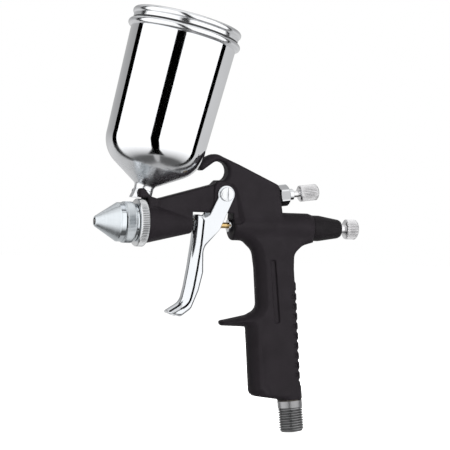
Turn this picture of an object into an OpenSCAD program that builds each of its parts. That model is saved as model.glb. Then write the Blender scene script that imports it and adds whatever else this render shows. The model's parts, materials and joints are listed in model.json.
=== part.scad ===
// Mini gravity-feed spray gun, in pieces as it comes apart on a bench.
// Drawn in the gun's own frame: x runs back from the nozzle tip, z up from the barrel
// axis, y across. in_row_frame() then moves all of it so that the origin is the centre
// of the air inlet's open end.

/* [Body casting] */
// Thickness of the handle and the rear of the body
body_t = 13.6; // [13:0.1:15]
// Thickness of the front web and of the hook
web_t = 8.4; // [8:0.1:9]
// Radius of the rear barrel
barrel_r = 7.75; // [7.5:0.05:8.5]
// Radius of the head behind the lock ring
head_r = 10.4; // [10.2:0.1:11]
// Radius of the rounded front edges of the handle
grip_r = 4.5; // [3:0.5:5]
// Number of notches down the back of the handle
notch_count = 10; // [6:1:10]

/* [Spray head] */
// Diameter of the lock ring
ring_d = 25; // [24.6:0.1:25.2]
// Width of the lock ring
ring_w = 4.8; // [4:0.1:4.8]
// Diameter of the base of the air cap's cone
cap_d = 20; // [19:0.5:20.5]
// Bore of the fluid nozzle at its tip
nozzle_bore = 1.0; // [0.8:0.1:1.1]

/* [Cup] */
// How far the cup leans back from upright, in degrees
cup_lean = 13.5; // [12:0.5:14]
// Outer radius of the cup at the top of its straight part
cup_top_r = 28.2; // [27.8:0.1:28.4]
// Outer radius of the cup at the foot of its straight part
cup_low_r = 26.4; // [26:0.1:26.6]
// Wall of the spun cup and its lid
cup_wall = 0.8; // [0.6:0.1:1]
// Length of the cup from the bowl's bottom to the middle of the rim bead
cup_len = 83.5; // [80:0.5:86]

/* [Controls] */
// Length of the rear fluid knob's knurled head
fluid_knob_len = 7; // [6:0.5:9]
// Radius of the rear fluid knob
fluid_knob_r = 5.3; // [4.8:0.1:5.6]
// Length of the upper air knob's knurled head
air_knob_len = 10.8; // [9:0.2:12]
// Radius of the upper air knob
air_knob_r = 4.3; // [4:0.1:4.6]
// Wall of the stamped trigger
trigger_wall = 1.3; // [1.1:0.05:1.3]

/* [Air inlet] */
// Outer radius of the inlet's parallel pipe thread
inlet_r = 6.58; // [6.5:0.01:6.6]
// Bore radius of the inlet fitting
inlet_bore_r = 4; // [3:0.1:4.4]

/* [Hidden] */

$fn = 64;
e = 0.01;

// The inlet's open end, the lean of the inlet and of the handle
inlet_end = [114.1, -108.4];
inlet_lean = 6.5;
inlet_len = 17;

// Trigger pivot, and the radii that turn there
pivot = [70.5, 16.3];
pivot_shank_r = 2;
running_gap = 0.05;
arm_in_y = 5;
arm_end_r = 4.7;

// Stations along the barrel, from the nozzle tip
seal_x = 15.4;
spigot_x = 16;
ring_x = 22.3;
head_x = 27.3;
head_end_x = 53.2;
stem_x = 55.95;
housing_x = 75.5;
plug_x = 96;
tail_x = 121.2;
tail_end_x = 137.8;
knob_x = 140.5;

// Radii inside the barrel
needle_r = 0.8;
needle_hole_r = 0.87;
stem_r = 1.55;
chamber_r = 5;
spigot_r = 8.9;
nozzle_thread_r = 4.5;

// The upper air passage starts at the web's rear face and slopes forward and down
air_port = [101.8, 16.6];
air_lean = 7.5;
air_hole_r = 1.4;

// The cup's axis meets the bowl's bottom here
cup_foot = [26.6, 17.8];
neck_r = 5.15;
neck_bore_r = 3.7;
neck_floor_z = 13.1;
bowl_arc_r = 17;
bowl_slope = 34;
bowl_top = 24.6;
rim_bead_r = 2;

// Moves the gun's frame to the row frame, whose origin is the inlet's open end
module in_row_frame() {
    translate([-inlet_end.x, 0, -inlet_end.y])
        children();
}

// Points on an arc about c, from angle a to angle b
function arc(c, r, a, b, n = 12) =
    [for (i = [0:n]) c + r * [cos(a + (b - a) * i / n), sin(a + (b - a) * i / n)]];

function unit(v) = v / norm(v);

// Corners are [x, z, radius]; each one turns into a tangent arc of its radius
function corner_arc(p, q, s, r, n = 6) =
    let (
        u = unit(p - q),
        w = unit(s - q),
        half = acos(u * w) / 2,
        reach = r / tan(half),
        c = q + unit(u + w) * r / sin(half),
        from = q + u * reach - c,
        a = atan2(from.y, from.x),
        to = q + w * reach - c,
        turn = atan2(from.x * to.y - from.y * to.x, from * to)
    )
    [for (i = [0:n]) c + r * [cos(a + turn * i / n), sin(a + turn * i / n)]];

function flat(p) = [p[0], p[1]];

function rounded(c) =
    let (k = len(c))
    [for (i = [0:k - 1])
        each c[i][2] > 0
            ? corner_arc(flat(c[(i + k - 1) % k]), flat(c[i]), flat(c[(i + 1) % k]), c[i][2])
            : [flat(c[i])]];

// Arc points as corners that stay sharp, so that they can stand in a rounded outline
function sharp(points) = [for (p = points) [p.x, p.y, 0]];

// A plate in the x-z plane, centred on y = 0
module plate(points, t) {
    rotate([90, 0, 0])
        translate([0, 0, -t / 2])
            linear_extrude(height = t)
                polygon(points);
}

// A turned part on the barrel axis; each point is [x, radius]
module turned(points) {
    rotate([0, 90, 0])
        rotate_extrude()
            polygon([for (p = points) [p[1], p[0]]]);
}

// A tube on the barrel axis from x = a to x = b
module tube(a, b, r, bore) {
    translate([a, 0, 0])
        rotate([0, 90, 0])
            difference() {
                cylinder(h = b - a, r = r);
                translate([0, 0, -1])
                    cylinder(h = b - a + 2, r = bore);
            }
}

module rod(a, b, r) {
    translate([a, 0, 0])
        rotate([0, 90, 0])
            cylinder(h = b - a, r = r);
}

// A rod across the gun at (x, z)
module cross_rod(at, r, y0, y1) {
    translate([at[0], y0, at[1]])
        rotate([-90, 0, 0])
            cylinder(h = y1 - y0, r = r);
}

// Frames with +Z along the cup's axis, the inlet's axis and the air passage
module on_cup_axis(s = 0) {
    translate([cup_foot.x, 0, cup_foot.y])
        rotate([0, cup_lean, 0])
            translate([0, 0, s])
                children();
}

module on_inlet_axis() {
    translate([inlet_end.x, 0, inlet_end.y])
        rotate([0, -inlet_lean, 0])
            children();
}

module on_air_axis(s = 0) {
    translate([air_port.x, 0, air_port.y])
        rotate([0, 90 - air_lean, 0])
            translate([0, 0, s])
                children();
}

// A round-wire compression spring from z = 0 to z = h. Its first and last turns lie
// closed, a hair apart, and the turns between share the rest of its length
module coil(r, wire, h, turns) {
    steps = turns * 20;
    sides = 8;
    rise = h - 2 * wire;
    shut = 2.1 * wire;
    function climb(t) =
        t < 1 ? shut * t
        : t > turns - 1 ? rise - shut * (turns - t)
        : shut + (rise - 2 * shut) * (t - 1) / (turns - 2);
    function ring(i) =
        let (t = turns * i / steps, z = wire + climb(t))
        [for (j = [0:sides - 1])
            let (b = -360 * j / sides, q = r + wire * cos(b))
            [q * cos(360 * t), q * sin(360 * t), z + wire * sin(b)]];
    points = [for (i = [0:steps]) each ring(i)];
    skin = [for (i = [0:steps - 1], j = [0:sides - 1])
        let (a = i * sides + j, b = i * sides + (j + 1) % sides)
        each [[a, b, b + sides], [a, b + sides, a + sides]]];
    ends = [[for (j = [sides - 1:-1:0]) j], [for (j = [0:sides - 1]) steps * sides + j]];
    polyhedron(points = points, faces = concat(skin, ends), convexity = 4);
}

// ---------------------------------------------------------------- body casting

function front_web_outline() = rounded([
    [27.3, 0, 0], [53.2, 0, 0], [53.2, 6.5, 0], [66, 6.5, 0], [66, 21.9, 0],
    [33.4, 12.6, 0], [29, 11.4, 0], [27.3, 11.4, 0]]);

function rear_web_outline() = rounded(concat(
    [[103.5, 3, 0], [housing_x, 3, 0], [housing_x, 6.5, 0], [64.3, 6.5, 0],
        [64.3, 21.4, 0], [66.2, 23.7, 1.2]],
    sharp(arc([66.7, 28.3], 5.3, -65, 118, 20)),
    [[57.4, 28, 1.2], [55.5, 30.1, 1.2], [56.9, 33, 2], [60.3, 35.9, 4],
        [64.9, 38.1, 7], [100.6, 22.1, 3], [102.9, 5, 0]]));

// The rear web thins from the barrel up to the hook
module web_draft() {
    rotate([90, 0, 90])
        translate([0, 0, 40])
            linear_extrude(height = 80)
                polygon([[-body_t / 2, 0], [body_t / 2, 0], [body_t / 2, 3],
                    [web_t / 2, 38], [web_t / 2, 45], [-web_t / 2, 45], [-web_t / 2, 38],
                    [-body_t / 2, 3]]);
}

// Milled flats on both sides that the trigger's arms swing in
module arm_recess() {
    for (side = [-1, 1])
        translate([0, side * (arm_in_y + 4.9), 0])
            plate(concat([[78, 5.5], [76.2, 16.3]],
                arc(pivot, 5.6, 0, 180), [[58, 5.5]]), 10);
}

function top_flare_outline() = concat(
    [[112, 0], [80, 0]],
    rounded([[housing_x, 0, 0], [housing_x, -5.5, 2], [81.5, -7.2, 6], [88, -13, 7],
        [90, -24, 0]]),
    [[105, -28]],
    rounded([[110.6, -22, 0], [110.4, -14, 6], [115, -9.4, 8], [121, -7.6, 0]]),
    [[121, 0]]);

function finger_stop_outline() = rounded([
    [90.4, -33, 0], [91.3, -43.5, 5], [85.5, -46.9, 8], [73.5, -49.6, 4],
    [70.4, -50.2, 1.2], [71.2, -52.9, 1.4], [84.6, -53.2, 1.2], [86, -56, 0],
    [100, -56, 0], [100, -33, 0]]);

// One stretch of the grip: a rounded bar from (x0, z0) down to (x1, z1)
module grip_bar(top, low, w) {
    run = low - top;
    lean = atan2(run.x, -run.y);
    r = grip_r;
    translate([top.x, 0, top.y])
        rotate([0, -lean, 0])
            translate([0, 0, -norm(run)])
                linear_extrude(height = norm(run))
                    union() {
                        translate([r, -body_t / 2])
                            square([w - 2 * r, body_t]);
                        translate([0, -body_t / 2 + r])
                            square([w, body_t - 2 * r]);
                        for (x = [r, w - r], y = [-1, 1])
                            translate([x, y * (body_t / 2 - r)])
                                circle(r = r);
                    }
}

// The inlet boss stands just below the end of the handle
module inlet_boss() {
    on_inlet_axis()
        translate([0, 0, inlet_len])
            cylinder(h = 14, r = 7);
}

module saddle() {
    plate(rounded([[27.3, 8, 0], [33.4, 8, 0], [33.4, 12.6, 0], [28.6, 13.9, 1.5],
        [25.2, 17.9, 1.3], [21.9, 18, 1.4], [22.3, neck_floor_z, 0],
        [27.3, neck_floor_z, 0]]), 14);
}

module casting() {
    turned([[spigot_x, 0], [spigot_x, spigot_r], [head_x, spigot_r], [head_x, head_r],
        [29.4, head_r], [head_end_x - 0.6, 4.9], [head_end_x, 4.3], [head_end_x, 0]]);
    plate(front_web_outline(), web_t);
    intersection() {
        plate(rear_web_outline(), 20);
        web_draft();
    }
    turned([[housing_x, 0], [housing_x, barrel_r - 1], [housing_x + 1, barrel_r],
        [119.2, barrel_r], [tail_x, barrel_r - 0.8], [tail_x, 0]]);
    plate(top_flare_outline(), body_t);
    plate(finger_stop_outline(), body_t);
    grip_bar([89.1, -17], [92.4, -55], 21.3);
    grip_bar([85.8, -53.2], [89, -89.6], 28.3);
    saddle();
    inlet_boss();
}

module body_bores() {
    // fluid way from the cup's neck down to the nozzle
    rod(spigot_x - 1, 30, nozzle_thread_r + running_gap);
    rod(28, 41, 2.2);
    rod(40, 48, needle_hole_r);
    rod(47, head_end_x + 1, 3.2);
    translate([29.3, 0, 0])
        cylinder(h = 13.1, r = 1.6);
    // air gallery in the head, and the ways from it through the spigot to the cap
    tube(32, 34.5, 7.8, 5.6);
    for (a = [45:90:315])
        rotate([a, 0, 0])
            translate([spigot_x - 1, 0, 6.7])
                rotate([0, 90, 0])
                    cylinder(h = 18, r = 1);
    // gland, valve seat, chamber and needle way in the rear barrel
    rod(housing_x - 1, 79.5, 2.95);
    rod(79, 83.5, 3);
    rod(83, 85, 2.4);
    rod(84, tail_x + 1, chamber_r);
    // valve outlet up to the sloping air passage
    translate([81.3, 0, 2])
        cylinder(h = 12, r = 1.2);
    // the air passage opens into a short pocket for the metering pin and the gland
    on_air_axis(-69.2)
        cylinder(h = 76, r = air_hole_r);
    on_air_axis(-9)
        cylinder(h = 14, r = 2.5);
    // air way up the handle
    translate([111.2, 0, -83])
        rotate([0, -13, 0])
            cylinder(h = 80, r = 3);
    on_inlet_axis()
        translate([0, 0, inlet_len - 1])
            cylinder(h = 13, r = 5.5);
}

module gun_body() {
    color([0.2, 0.19, 0.2])
        in_row_frame()
            difference() {
                casting();
                body_bores();
                arm_recess();
                cross_rod(pivot, 2.05, -10, 10);
                on_cup_axis(-7)
                    cylinder(h = 20, r = neck_r + running_gap);
                // room for the lock ring under the saddle
                tube(20, head_x, 13, spigot_r);
                // recessed panel line on each side of the grip
                for (side = [-1, 1])
                    translate([98.2, side * body_t / 2, -17.5])
                        rotate([0, -inlet_lean + 0.3, 0])
                            translate([0, -0.8, -33.5])
                                cube([2.8, 1.6, 33.5]);
                // notches down the back of the handle
                for (i = [0:notch_count - 1])
                    cross_rod([112.4 + 0.52 * i, -34 - 5.2 * i], 0.7, -10, 10);
            }
}

// ---------------------------------------------------------------- spray head

module fluid_nozzle() {
    color([0.62, 0.6, 0.55])
        in_row_frame()
            difference() {
                turned([[0, 0], [0, 0.95], [2.5, 1.5], [8, 2.6], [11, 4.2], [12.6, 4.2],
                    [12.6, 7.4], [seal_x, 7.4], [seal_x, nozzle_thread_r],
                    [27.6, nozzle_thread_r], [28, 4.1], [28, 0]]);
                turned([[-1, 0], [-1, nozzle_bore / 2], [1.4, nozzle_bore / 2],
                    [10, 2.1], [29, 2.1], [29, 0]]);
                for (a = [0:60:300])
                    rotate([a, 0, 0])
                        translate([11, 0, 5.8])
                            rotate([0, 90, 0])
                                cylinder(h = 6, r = 0.7);
            }
}

module nozzle_seal() {
    color([0.93, 0.93, 0.9])
        in_row_frame()
            tube(seal_x, spigot_x, 5.8, nozzle_thread_r + 0.1);
}

module air_cap() {
    r = cap_d / 2;
    color([0.75, 0.76, 0.78])
        in_row_frame()
            difference() {
                turned([[0.3, 0], [0.3, 2.5], [0.7, 2.9], [12, r], [12.5, r + 0.2],
                    [15.3, r + 0.2], [15.5, r + 0.8], [20.1, r + 0.8], [20.3, r],
                    [22, r], [22, 0]]);
                turned([[-1, 0], [-1, 1.85], [3, 1.85], [4, 3], [11.5, 8.4],
                    [14, 9], [23, 9], [23, 0]]);
            }
}

module cap_lock_ring() {
    r = ring_d / 2;
    color([0.78, 0.79, 0.8])
        in_row_frame()
            difference() {
                turned([[ring_x, 0], [ring_x, r - 0.7], [ring_x + 0.6, r],
                    [ring_x + ring_w - 0.7, r], [ring_x + ring_w - 0.1, r - 0.8],
                    [ring_x + ring_w - 0.1, 0]]);
                rod(ring_x - 1, ring_x + ring_w + 1, spigot_r + running_gap);
                rod(ring_x + 1.6, ring_x + 2.6, 9.4);
            }
}

module lock_ring_clip() {
    color([0.3, 0.3, 0.32])
        in_row_frame()
            tube(ring_x + 1.7, ring_x + 2.5, 9.3, spigot_r + running_gap);
}

module cup_neck() {
    color([0.85, 0.86, 0.88])
        in_row_frame()
            difference() {
                on_cup_axis(-7)
                    cylinder(h = 6, r = neck_r);
                on_cup_axis(-4)
                    cylinder(h = 5, r = neck_bore_r);
                translate([10, -10, neck_floor_z - 10])
                    cube([30, 20, 10]);
                translate([29.3, 0, 10])
                    cylinder(h = 8, r = 1.5);
            }
}

// ---------------------------------------------------------------- needle and packing

module fluid_needle() {
    color([0.82, 0.82, 0.84])
        in_row_frame()
            turned([[0.5, 0], [0.5, 0.2], [5, needle_r], [112.5, needle_r], [113, 0.6],
                [113, 0]]);
}

module needle_packing() {
    color([0.95, 0.95, 0.93])
        in_row_frame()
            tube(47, 48.9, 3.15, needle_hole_r);
}

module needle_packing_nut() {
    color([0.85, 0.86, 0.87])
        in_row_frame()
            difference() {
                tube(49, head_end_x - 1.2, 3.15, needle_hole_r);
                translate([head_end_x - 2.2, -4, -0.4])
                    cube([2, 8, 0.8]);
            }
}

module needle_chuck() {
    color([0.72, 0.62, 0.35])
        in_row_frame()
            tube(104.6, 109.6, 4.6, needle_r);
}

module needle_spring() {
    color([0.7, 0.71, 0.73])
        in_row_frame()
            translate([109.8, 0, 0])
                rotate([0, 90, 0])
                    coil(2.6, 0.4, 14.6, 7);
}

module spring_seat() {
    color([0.72, 0.62, 0.35])
        in_row_frame()
            difference() {
                turned([[124.6, 0], [124.6, 3.35], [126.2, 3.35], [126.2, 1.5],
                    [131, 1.5], [131, 0]]);
                rod(124, 125.2, 1.2);
            }
}

// ---------------------------------------------------------------- air valve

module air_valve_stem() {
    color([0.83, 0.66, 0.32])
        in_row_frame()
            difference() {
                turned([[stem_x, 0], [stem_x, stem_r], [84.3, stem_r], [84.3, 3.1],
                    [85.9, 3.1], [85.9, stem_r], [104.4, stem_r], [104.4, 0]]);
                rod(stem_x - 1, 106, needle_hole_r);
                tube(84.2, 84.8, 4, stem_r + 0.4);
            }
}

module air_valve_seal() {
    color([0.1, 0.1, 0.1])
        in_row_frame()
            tube(84.02, 84.75, 3.4, stem_r + 0.45);
}

module air_valve_packing_nut() {
    color([0.8, 0.8, 0.82])
        in_row_frame()
            difference() {
                union() {
                    tube(73.7, housing_x, 3.35, stem_r + running_gap);
                    tube(housing_x, 78.6, 2.9, stem_r + running_gap);
                }
                translate([73, -4, -0.45])
                    cube([1.6, 8, 0.9]);
            }
}

module air_valve_spring() {
    color([0.7, 0.71, 0.73])
        in_row_frame()
            translate([86.1, 0, 0])
                rotate([0, 90, 0])
                    coil(2.5, 0.35, 9.7, 6);
}

module air_valve_plug() {
    color([0.72, 0.62, 0.35])
        in_row_frame()
            difference() {
                tube(plug_x, 100.4, chamber_r - 0.1, stem_r + running_gap);
                rod(98.2, 101, 2.6);
                translate([99.6, -6, -0.6])
                    cube([2, 12, 1.2]);
            }
}

module plug_oring() {
    color([0.08, 0.08, 0.08])
        in_row_frame()
            tube(98.25, 99.4, 2.55, stem_r + running_gap);
}

// ---------------------------------------------------------------- rear controls

module tail_housing() {
    color([0.17, 0.16, 0.17])
        in_row_frame()
            difference() {
                turned([[114.6, 0], [114.6, 4.9], [tail_x + 0.1, 4.9], [tail_x + 0.1, 6.7],
                    [123, 7], [125, 6.8], [136.2, 4.9], [136.8, 4.7], [137.5, 4.2],
                    [tail_end_x, 3.6], [tail_end_x, 0]]);
                rod(111, 132.5, 3.5);
                rod(132, tail_end_x + 1, 2.65);
                rod(136.4, tail_end_x + 1, 3.3);
            }
}

module knurled_head(a, b, r) {
    turned([[a, 0], [a, r - 0.5], [a + 0.5, r], [b - 0.9, r], [b - 0.1, r - 0.9],
        [b, r - 1.1], [b, 0]]);
}

module fluid_knob() {
    color([0.8, 0.8, 0.82])
        in_row_frame()
            difference() {
                union() {
                    rod(126.4, knob_x + e, 2.6);
                    knurled_head(knob_x, knob_x + fluid_knob_len, fluid_knob_r);
                }
                rod(126, 132.5, 1.55);
            }
}

module fluid_knob_oring() {
    color([0.08, 0.08, 0.08])
        in_row_frame()
            tube(136.5, 137.6, 3.25, 2.65);
}

module air_gland_nut() {
    color([0.85, 0.86, 0.87])
        in_row_frame()
            difference() {
                union() {
                    on_air_axis(-5)
                        cylinder(h = 6, r = 2.45);
                    on_air_axis(0.1)
                        cylinder(h = 5.5, d = 11.5, $fn = 6);
                    on_air_axis(5.5)
                        cylinder(h = 2.9, r = 3);
                }
                on_air_axis(-6)
                    cylinder(h = 16, r = 1.75 + running_gap);
                on_air_axis(7)
                    cylinder(h = 2, r = 2.5);
            }
}

module air_metering_pin() {
    color([0.72, 0.62, 0.35])
        in_row_frame()
            on_air_axis(-12)
                rotate_extrude()
                    polygon([[0, 0], [0.5, 0], [1.3, 3.5], [1.3, 6.1], [0.9, 6.1],
                        [0.9, 10.6], [0, 10.6]]);
}

module air_knob() {
    color([0.8, 0.8, 0.82])
        in_row_frame()
            difference() {
                union() {
                    on_air_axis(-5.6)
                        cylinder(h = 17.5, r = 1.75);
                    translate([air_port.x, 0, air_port.y])
                        rotate([0, -air_lean, 0])
                            knurled_head(11.8, 11.8 + air_knob_len, air_knob_r);
                }
                on_air_axis(-6)
                    cylinder(h = 6, r = 0.95);
            }
}

module air_knob_oring() {
    color([0.08, 0.08, 0.08])
        in_row_frame()
            on_air_axis(7.05)
                difference() {
                    cylinder(h = 1.1, r = 2.45);
                    translate([0, 0, -1])
                        cylinder(h = 4, r = 1.8);
                }
}

// ---------------------------------------------------------------- trigger

// Side view of a cheek: the arm down from the pivot, then the curved finger lever
function cheek_outline() = rounded(concat(
    sharp(arc(pivot, arm_end_r, -20, 200, 16)),
    [[61.2, 4.2, 3], [54.9, 5.6, 1.2], [53.6, -9, 0], [51.7, -23, 0],
        [50, -33, 6], [48.4, -40, 5], [40.4, -45.4, 0.6], [41.5, -46.7, 0.6],
        [47.6, -48.7, 2.5], [53.4, -44.4, 5], [57.4, -34.5, 7], [59.6, -25, 5],
        [59.2, -12.5, 8], [67.4, -2.4, 6]]));

// The same lever without its front wall: what is cut from inside the channel
function channel_inside() = rounded([
    [64, 8, 0], [56.2, 8, 0], [54.9, -9, 0], [53, -23, 0], [51.3, -33, 6],
    [49.6, -41, 5], [39, -48.2, 0], [44, -54, 0], [66, -44, 0], [66, -12, 0],
    [80, -8, 0], [80, 8, 0]]);

module trigger() {
    outer = arm_in_y + trigger_wall;
    color([0.85, 0.86, 0.88])
        in_row_frame()
            difference() {
                plate(cheek_outline(), 2 * outer);
                // between the two cheeks, behind the front wall
                plate(channel_inside(), 2 * arm_in_y);
                // above the front wall only the two arms are left
                translate([40, -arm_in_y, 5.6])
                    cube([50, 2 * arm_in_y, 20]);
                // the needle passes through a slot in the front wall
                translate([50, -1.1, -1.1])
                    cube([10, 2.2, 5.7]);
                cross_rod(pivot, pivot_shank_r + running_gap, -10, 10);
            }
}

module trigger_screw() {
    outer = arm_in_y + trigger_wall;
    color([0.85, 0.86, 0.88])
        in_row_frame()
            difference() {
                union() {
                    cross_rod(pivot, pivot_shank_r, -outer - 0.3, outer + 0.3);
                    cross_rod(pivot, 3.7, -outer - 1.7, -outer - 0.1);
                    cross_rod(pivot, 1.5, outer + 0.2, outer + 1.9);
                }
                translate([pivot.x - 0.5, -outer - 3, pivot.y - 5])
                    cube([1, 2.2, 10]);
            }
}

module trigger_nut() {
    outer = arm_in_y + trigger_wall;
    color([0.8, 0.8, 0.82])
        in_row_frame()
            difference() {
                cross_rod(pivot, 3.7, outer + 0.1, outer + 1.9);
                cross_rod(pivot, pivot_shank_r, outer, outer + 0.3);
                cross_rod(pivot, 1.5, outer, outer + 3);
            }
}

// ---------------------------------------------------------------- cup

// Outside of the cup in [radius, height], moved in by the wall thickness for the inside
function cup_side(in) =
    let (
        c = [cup_low_r - bowl_arc_r, bowl_top],
        r = bowl_arc_r - in,
        lip = cup_len - rim_bead_r
    )
    concat(
        arc(c, r, bowl_slope - 90, 0, 14),
        [[cup_top_r - in, lip]]);

function bowl_foot(r, in) =
    let (
        c = [cup_low_r - bowl_arc_r, bowl_top],
        q = c + (bowl_arc_r - in) * [sin(bowl_slope), -cos(bowl_slope)]
    )
    [r, q.y - (q.x - r) * tan(bowl_slope)];

module cup() {
    rim = [cup_top_r, cup_len];
    foot = bowl_foot(neck_r + 1.6, 0);
    in_foot = bowl_foot(neck_bore_r, cup_wall);
    outside = concat([[neck_bore_r, -1], [neck_r, -1]],
        arc([neck_r + 2.4, foot.y - 1.9], 2.4, 180, 118, 4), cup_side(0),
        arc(rim, rim_bead_r, -80, 58, 12), [[cup_top_r - cup_wall, cup_len + 1.7]]);
    inside = [[cup_top_r - cup_wall, cup_len - rim_bead_r],
        for (i = [14:-1:0]) cup_side(cup_wall)[i], in_foot];
    color([0.85, 0.86, 0.88])
        in_row_frame()
            on_cup_axis()
                rotate_extrude()
                    polygon(concat(outside, inside));
}

module cup_strainer() {
    color([0.75, 0.75, 0.77])
        in_row_frame()
            on_cup_axis(-0.9)
                difference() {
                    union() {
                        cylinder(h = 2, r = neck_bore_r - 0.1);
                        translate([0, 0, 1.9])
                            cylinder(h = 3, r = 2.4);
                    }
                    translate([0, 0, -1])
                        cylinder(h = 5.2, r = 1.7);
                    for (a = [0:60:300])
                        rotate([0, 0, a])
                            translate([0, 0, 3.2])
                                rotate([0, 90, 0])
                                    cylinder(h = 5, r = 0.45);
                }
}

lid_bead_r = 2;
lid_bead = [27.2, cup_len + 6.4];
lid_seat = cup_len + 2.8;

module cup_lid() {
    plug_r = cup_top_r - cup_wall - 0.3;
    color([0.85, 0.86, 0.88])
        in_row_frame()
            on_cup_axis()
                difference() {
                    rotate_extrude()
                        polygon(concat(
                            [[0, lid_bead.y + 2.4], [14, lid_bead.y + 2.2],
                                [24.6, lid_bead.y + 1.5]],
                            arc(lid_bead, lid_bead_r, 92, -52, 14),
                            [[28.3, lid_bead.y - 2.2], [28.3, lid_seat],
                                [plug_r, lid_seat], [plug_r, cup_len - 4.5],
                                [plug_r - cup_wall, cup_len - 4.5],
                                [plug_r - cup_wall, lid_bead.y],
                                [14, lid_bead.y + 1.3], [0, lid_bead.y + 1.5]]));
                    translate([0, 14, lid_bead.y - 2])
                        cylinder(h = 8, r = 0.8);
                }
}

module lid_gasket() {
    color([0.1, 0.1, 0.1])
        in_row_frame()
            on_cup_axis(cup_len + 1.7)
                difference() {
                    cylinder(h = 1.1, r = 28.1);
                    translate([0, 0, -1])
                        cylinder(h = 4, r = cup_top_r - cup_wall - 0.2);
                }
}

// ---------------------------------------------------------------- air inlet

module inlet_fitting() {
    color([0.6, 0.6, 0.6])
        in_row_frame()
            on_inlet_axis()
                difference() {
                    union() {
                        cylinder(h = inlet_len - 0.6, r = inlet_r);
                        translate([0, 0, inlet_len - 0.7])
                            cylinder(h = 11, r = 5.4);
                    }
                    translate([0, 0, -1])
                        cylinder(h = 40, r = inlet_bore_r);
                }
}

module inlet_washer() {
    color([0.72, 0.45, 0.3])
        in_row_frame()
            on_inlet_axis()
                translate([0, 0, inlet_len - 0.6])
                    difference() {
                        cylinder(h = 0.6, r = 6.4);
                        translate([0, 0, -1])
                            cylinder(h = 4, r = 5.45);
                    }
}

gun_body();
fluid_nozzle();
nozzle_seal();
air_cap();
cap_lock_ring();
lock_ring_clip();
fluid_needle();
needle_packing();
needle_packing_nut();
trigger();
trigger_screw();
trigger_nut();
air_valve_stem();
air_valve_seal();
air_valve_packing_nut();
air_valve_spring();
air_valve_plug();
plug_oring();
needle_chuck();
needle_spring();
spring_seat();
tail_housing();
fluid_knob();
fluid_knob_oring();
air_gland_nut();
air_metering_pin();
air_knob();
air_knob_oring();
cup();
cup_neck();
cup_strainer();
cup_lid();
lid_gasket();
inlet_fitting();
inlet_washer();
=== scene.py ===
import json
import math

import bmesh
import bpy
import numpy as np
from mathutils import Matrix, Vector


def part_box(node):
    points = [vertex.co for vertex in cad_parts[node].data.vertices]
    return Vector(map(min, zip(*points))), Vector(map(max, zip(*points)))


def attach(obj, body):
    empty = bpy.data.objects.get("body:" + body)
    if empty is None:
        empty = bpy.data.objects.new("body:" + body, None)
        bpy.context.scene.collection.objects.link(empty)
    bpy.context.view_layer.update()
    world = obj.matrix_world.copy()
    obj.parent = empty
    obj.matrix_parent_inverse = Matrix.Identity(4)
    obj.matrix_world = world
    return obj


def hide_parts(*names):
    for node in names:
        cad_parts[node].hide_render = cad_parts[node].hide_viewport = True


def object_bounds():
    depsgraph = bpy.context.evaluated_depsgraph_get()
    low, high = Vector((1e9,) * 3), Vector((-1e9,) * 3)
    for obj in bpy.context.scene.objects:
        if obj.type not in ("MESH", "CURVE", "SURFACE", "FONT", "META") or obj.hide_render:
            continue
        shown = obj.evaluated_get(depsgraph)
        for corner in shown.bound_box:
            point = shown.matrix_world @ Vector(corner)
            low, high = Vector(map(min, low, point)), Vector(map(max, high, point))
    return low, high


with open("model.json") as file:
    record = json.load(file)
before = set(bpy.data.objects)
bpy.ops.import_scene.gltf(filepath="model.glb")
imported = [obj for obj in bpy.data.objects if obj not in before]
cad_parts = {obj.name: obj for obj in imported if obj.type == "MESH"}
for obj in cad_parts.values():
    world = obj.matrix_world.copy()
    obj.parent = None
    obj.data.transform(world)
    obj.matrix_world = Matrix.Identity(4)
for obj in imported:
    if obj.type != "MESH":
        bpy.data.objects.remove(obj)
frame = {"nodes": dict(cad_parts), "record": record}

# Looks of a mini gravity-feed spray gun. Shapes are drawn in millimetres in the gun's own
# frame: x runs back from the nozzle tip, z up from the barrel axis, y across.
cad_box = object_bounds()
MM = 0.001
nozzle_low, nozzle_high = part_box("fluid_nozzle")
ORIGIN = np.array([nozzle_low.x, 0, (nozzle_low.z + nozzle_high.z) / 2])


def to_row(points):
    """Points in the gun's frame, mm, as points in the row frame, metres."""
    return np.asarray(points, float) * MM + ORIGIN


def add_to_scene(name, data):
    """A new object that shows that mesh, lamp or camera."""
    thing = bpy.data.objects.new(name, data)
    bpy.context.scene.collection.objects.link(thing)
    return thing


# ------------------------------------------------------------------ materials

def new_material(name, colour, metallic=0.0, roughness=0.4, **sockets):
    """A Principled material; returns it with its node tree and its shader node."""
    material = bpy.data.materials.new(name)
    material.use_nodes = True
    tree = material.node_tree
    shader = tree.nodes["Principled BSDF"]
    sockets.update(Base_Color=(*colour, 1), Metallic=metallic, Roughness=roughness)
    for socket, value in sockets.items():
        feed(shader, socket.replace("_", " "), value)
    return material, tree, shader


def feed(node, socket, value):
    """Sets a node's input to a value, or links it to another node's socket."""
    if isinstance(value, bpy.types.NodeSocket):
        node.id_data.links.new(value, node.inputs[socket])
    else:
        node.inputs[socket].default_value = value


def add_node(tree, kind, inputs, **settings):
    node = tree.nodes.new("ShaderNode" + kind)
    for name, value in settings.items():
        setattr(node, name, value)
    for socket, value in inputs.items():
        feed(node, socket, value)
    return node


def object_coordinates(tree, stretch=(1, 1, 1)):
    """Coordinates in metres on the piece, stretched along each axis."""
    place = add_node(tree, "TexCoord", {}).outputs["Object"]
    return add_node(tree, "Mapping", {"Vector": place, "Scale": stretch}).outputs["Vector"]


def noise(tree, size, detail=3.0, stretch=(1, 1, 1)):
    """A noise value whose features are about size metres across."""
    node = add_node(tree, "TexNoise", {"Scale": 1 / size, "Detail": detail, "Roughness": 0.55,
                                       "Vector": object_coordinates(tree, stretch)})
    return node.outputs["Fac"]


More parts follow.
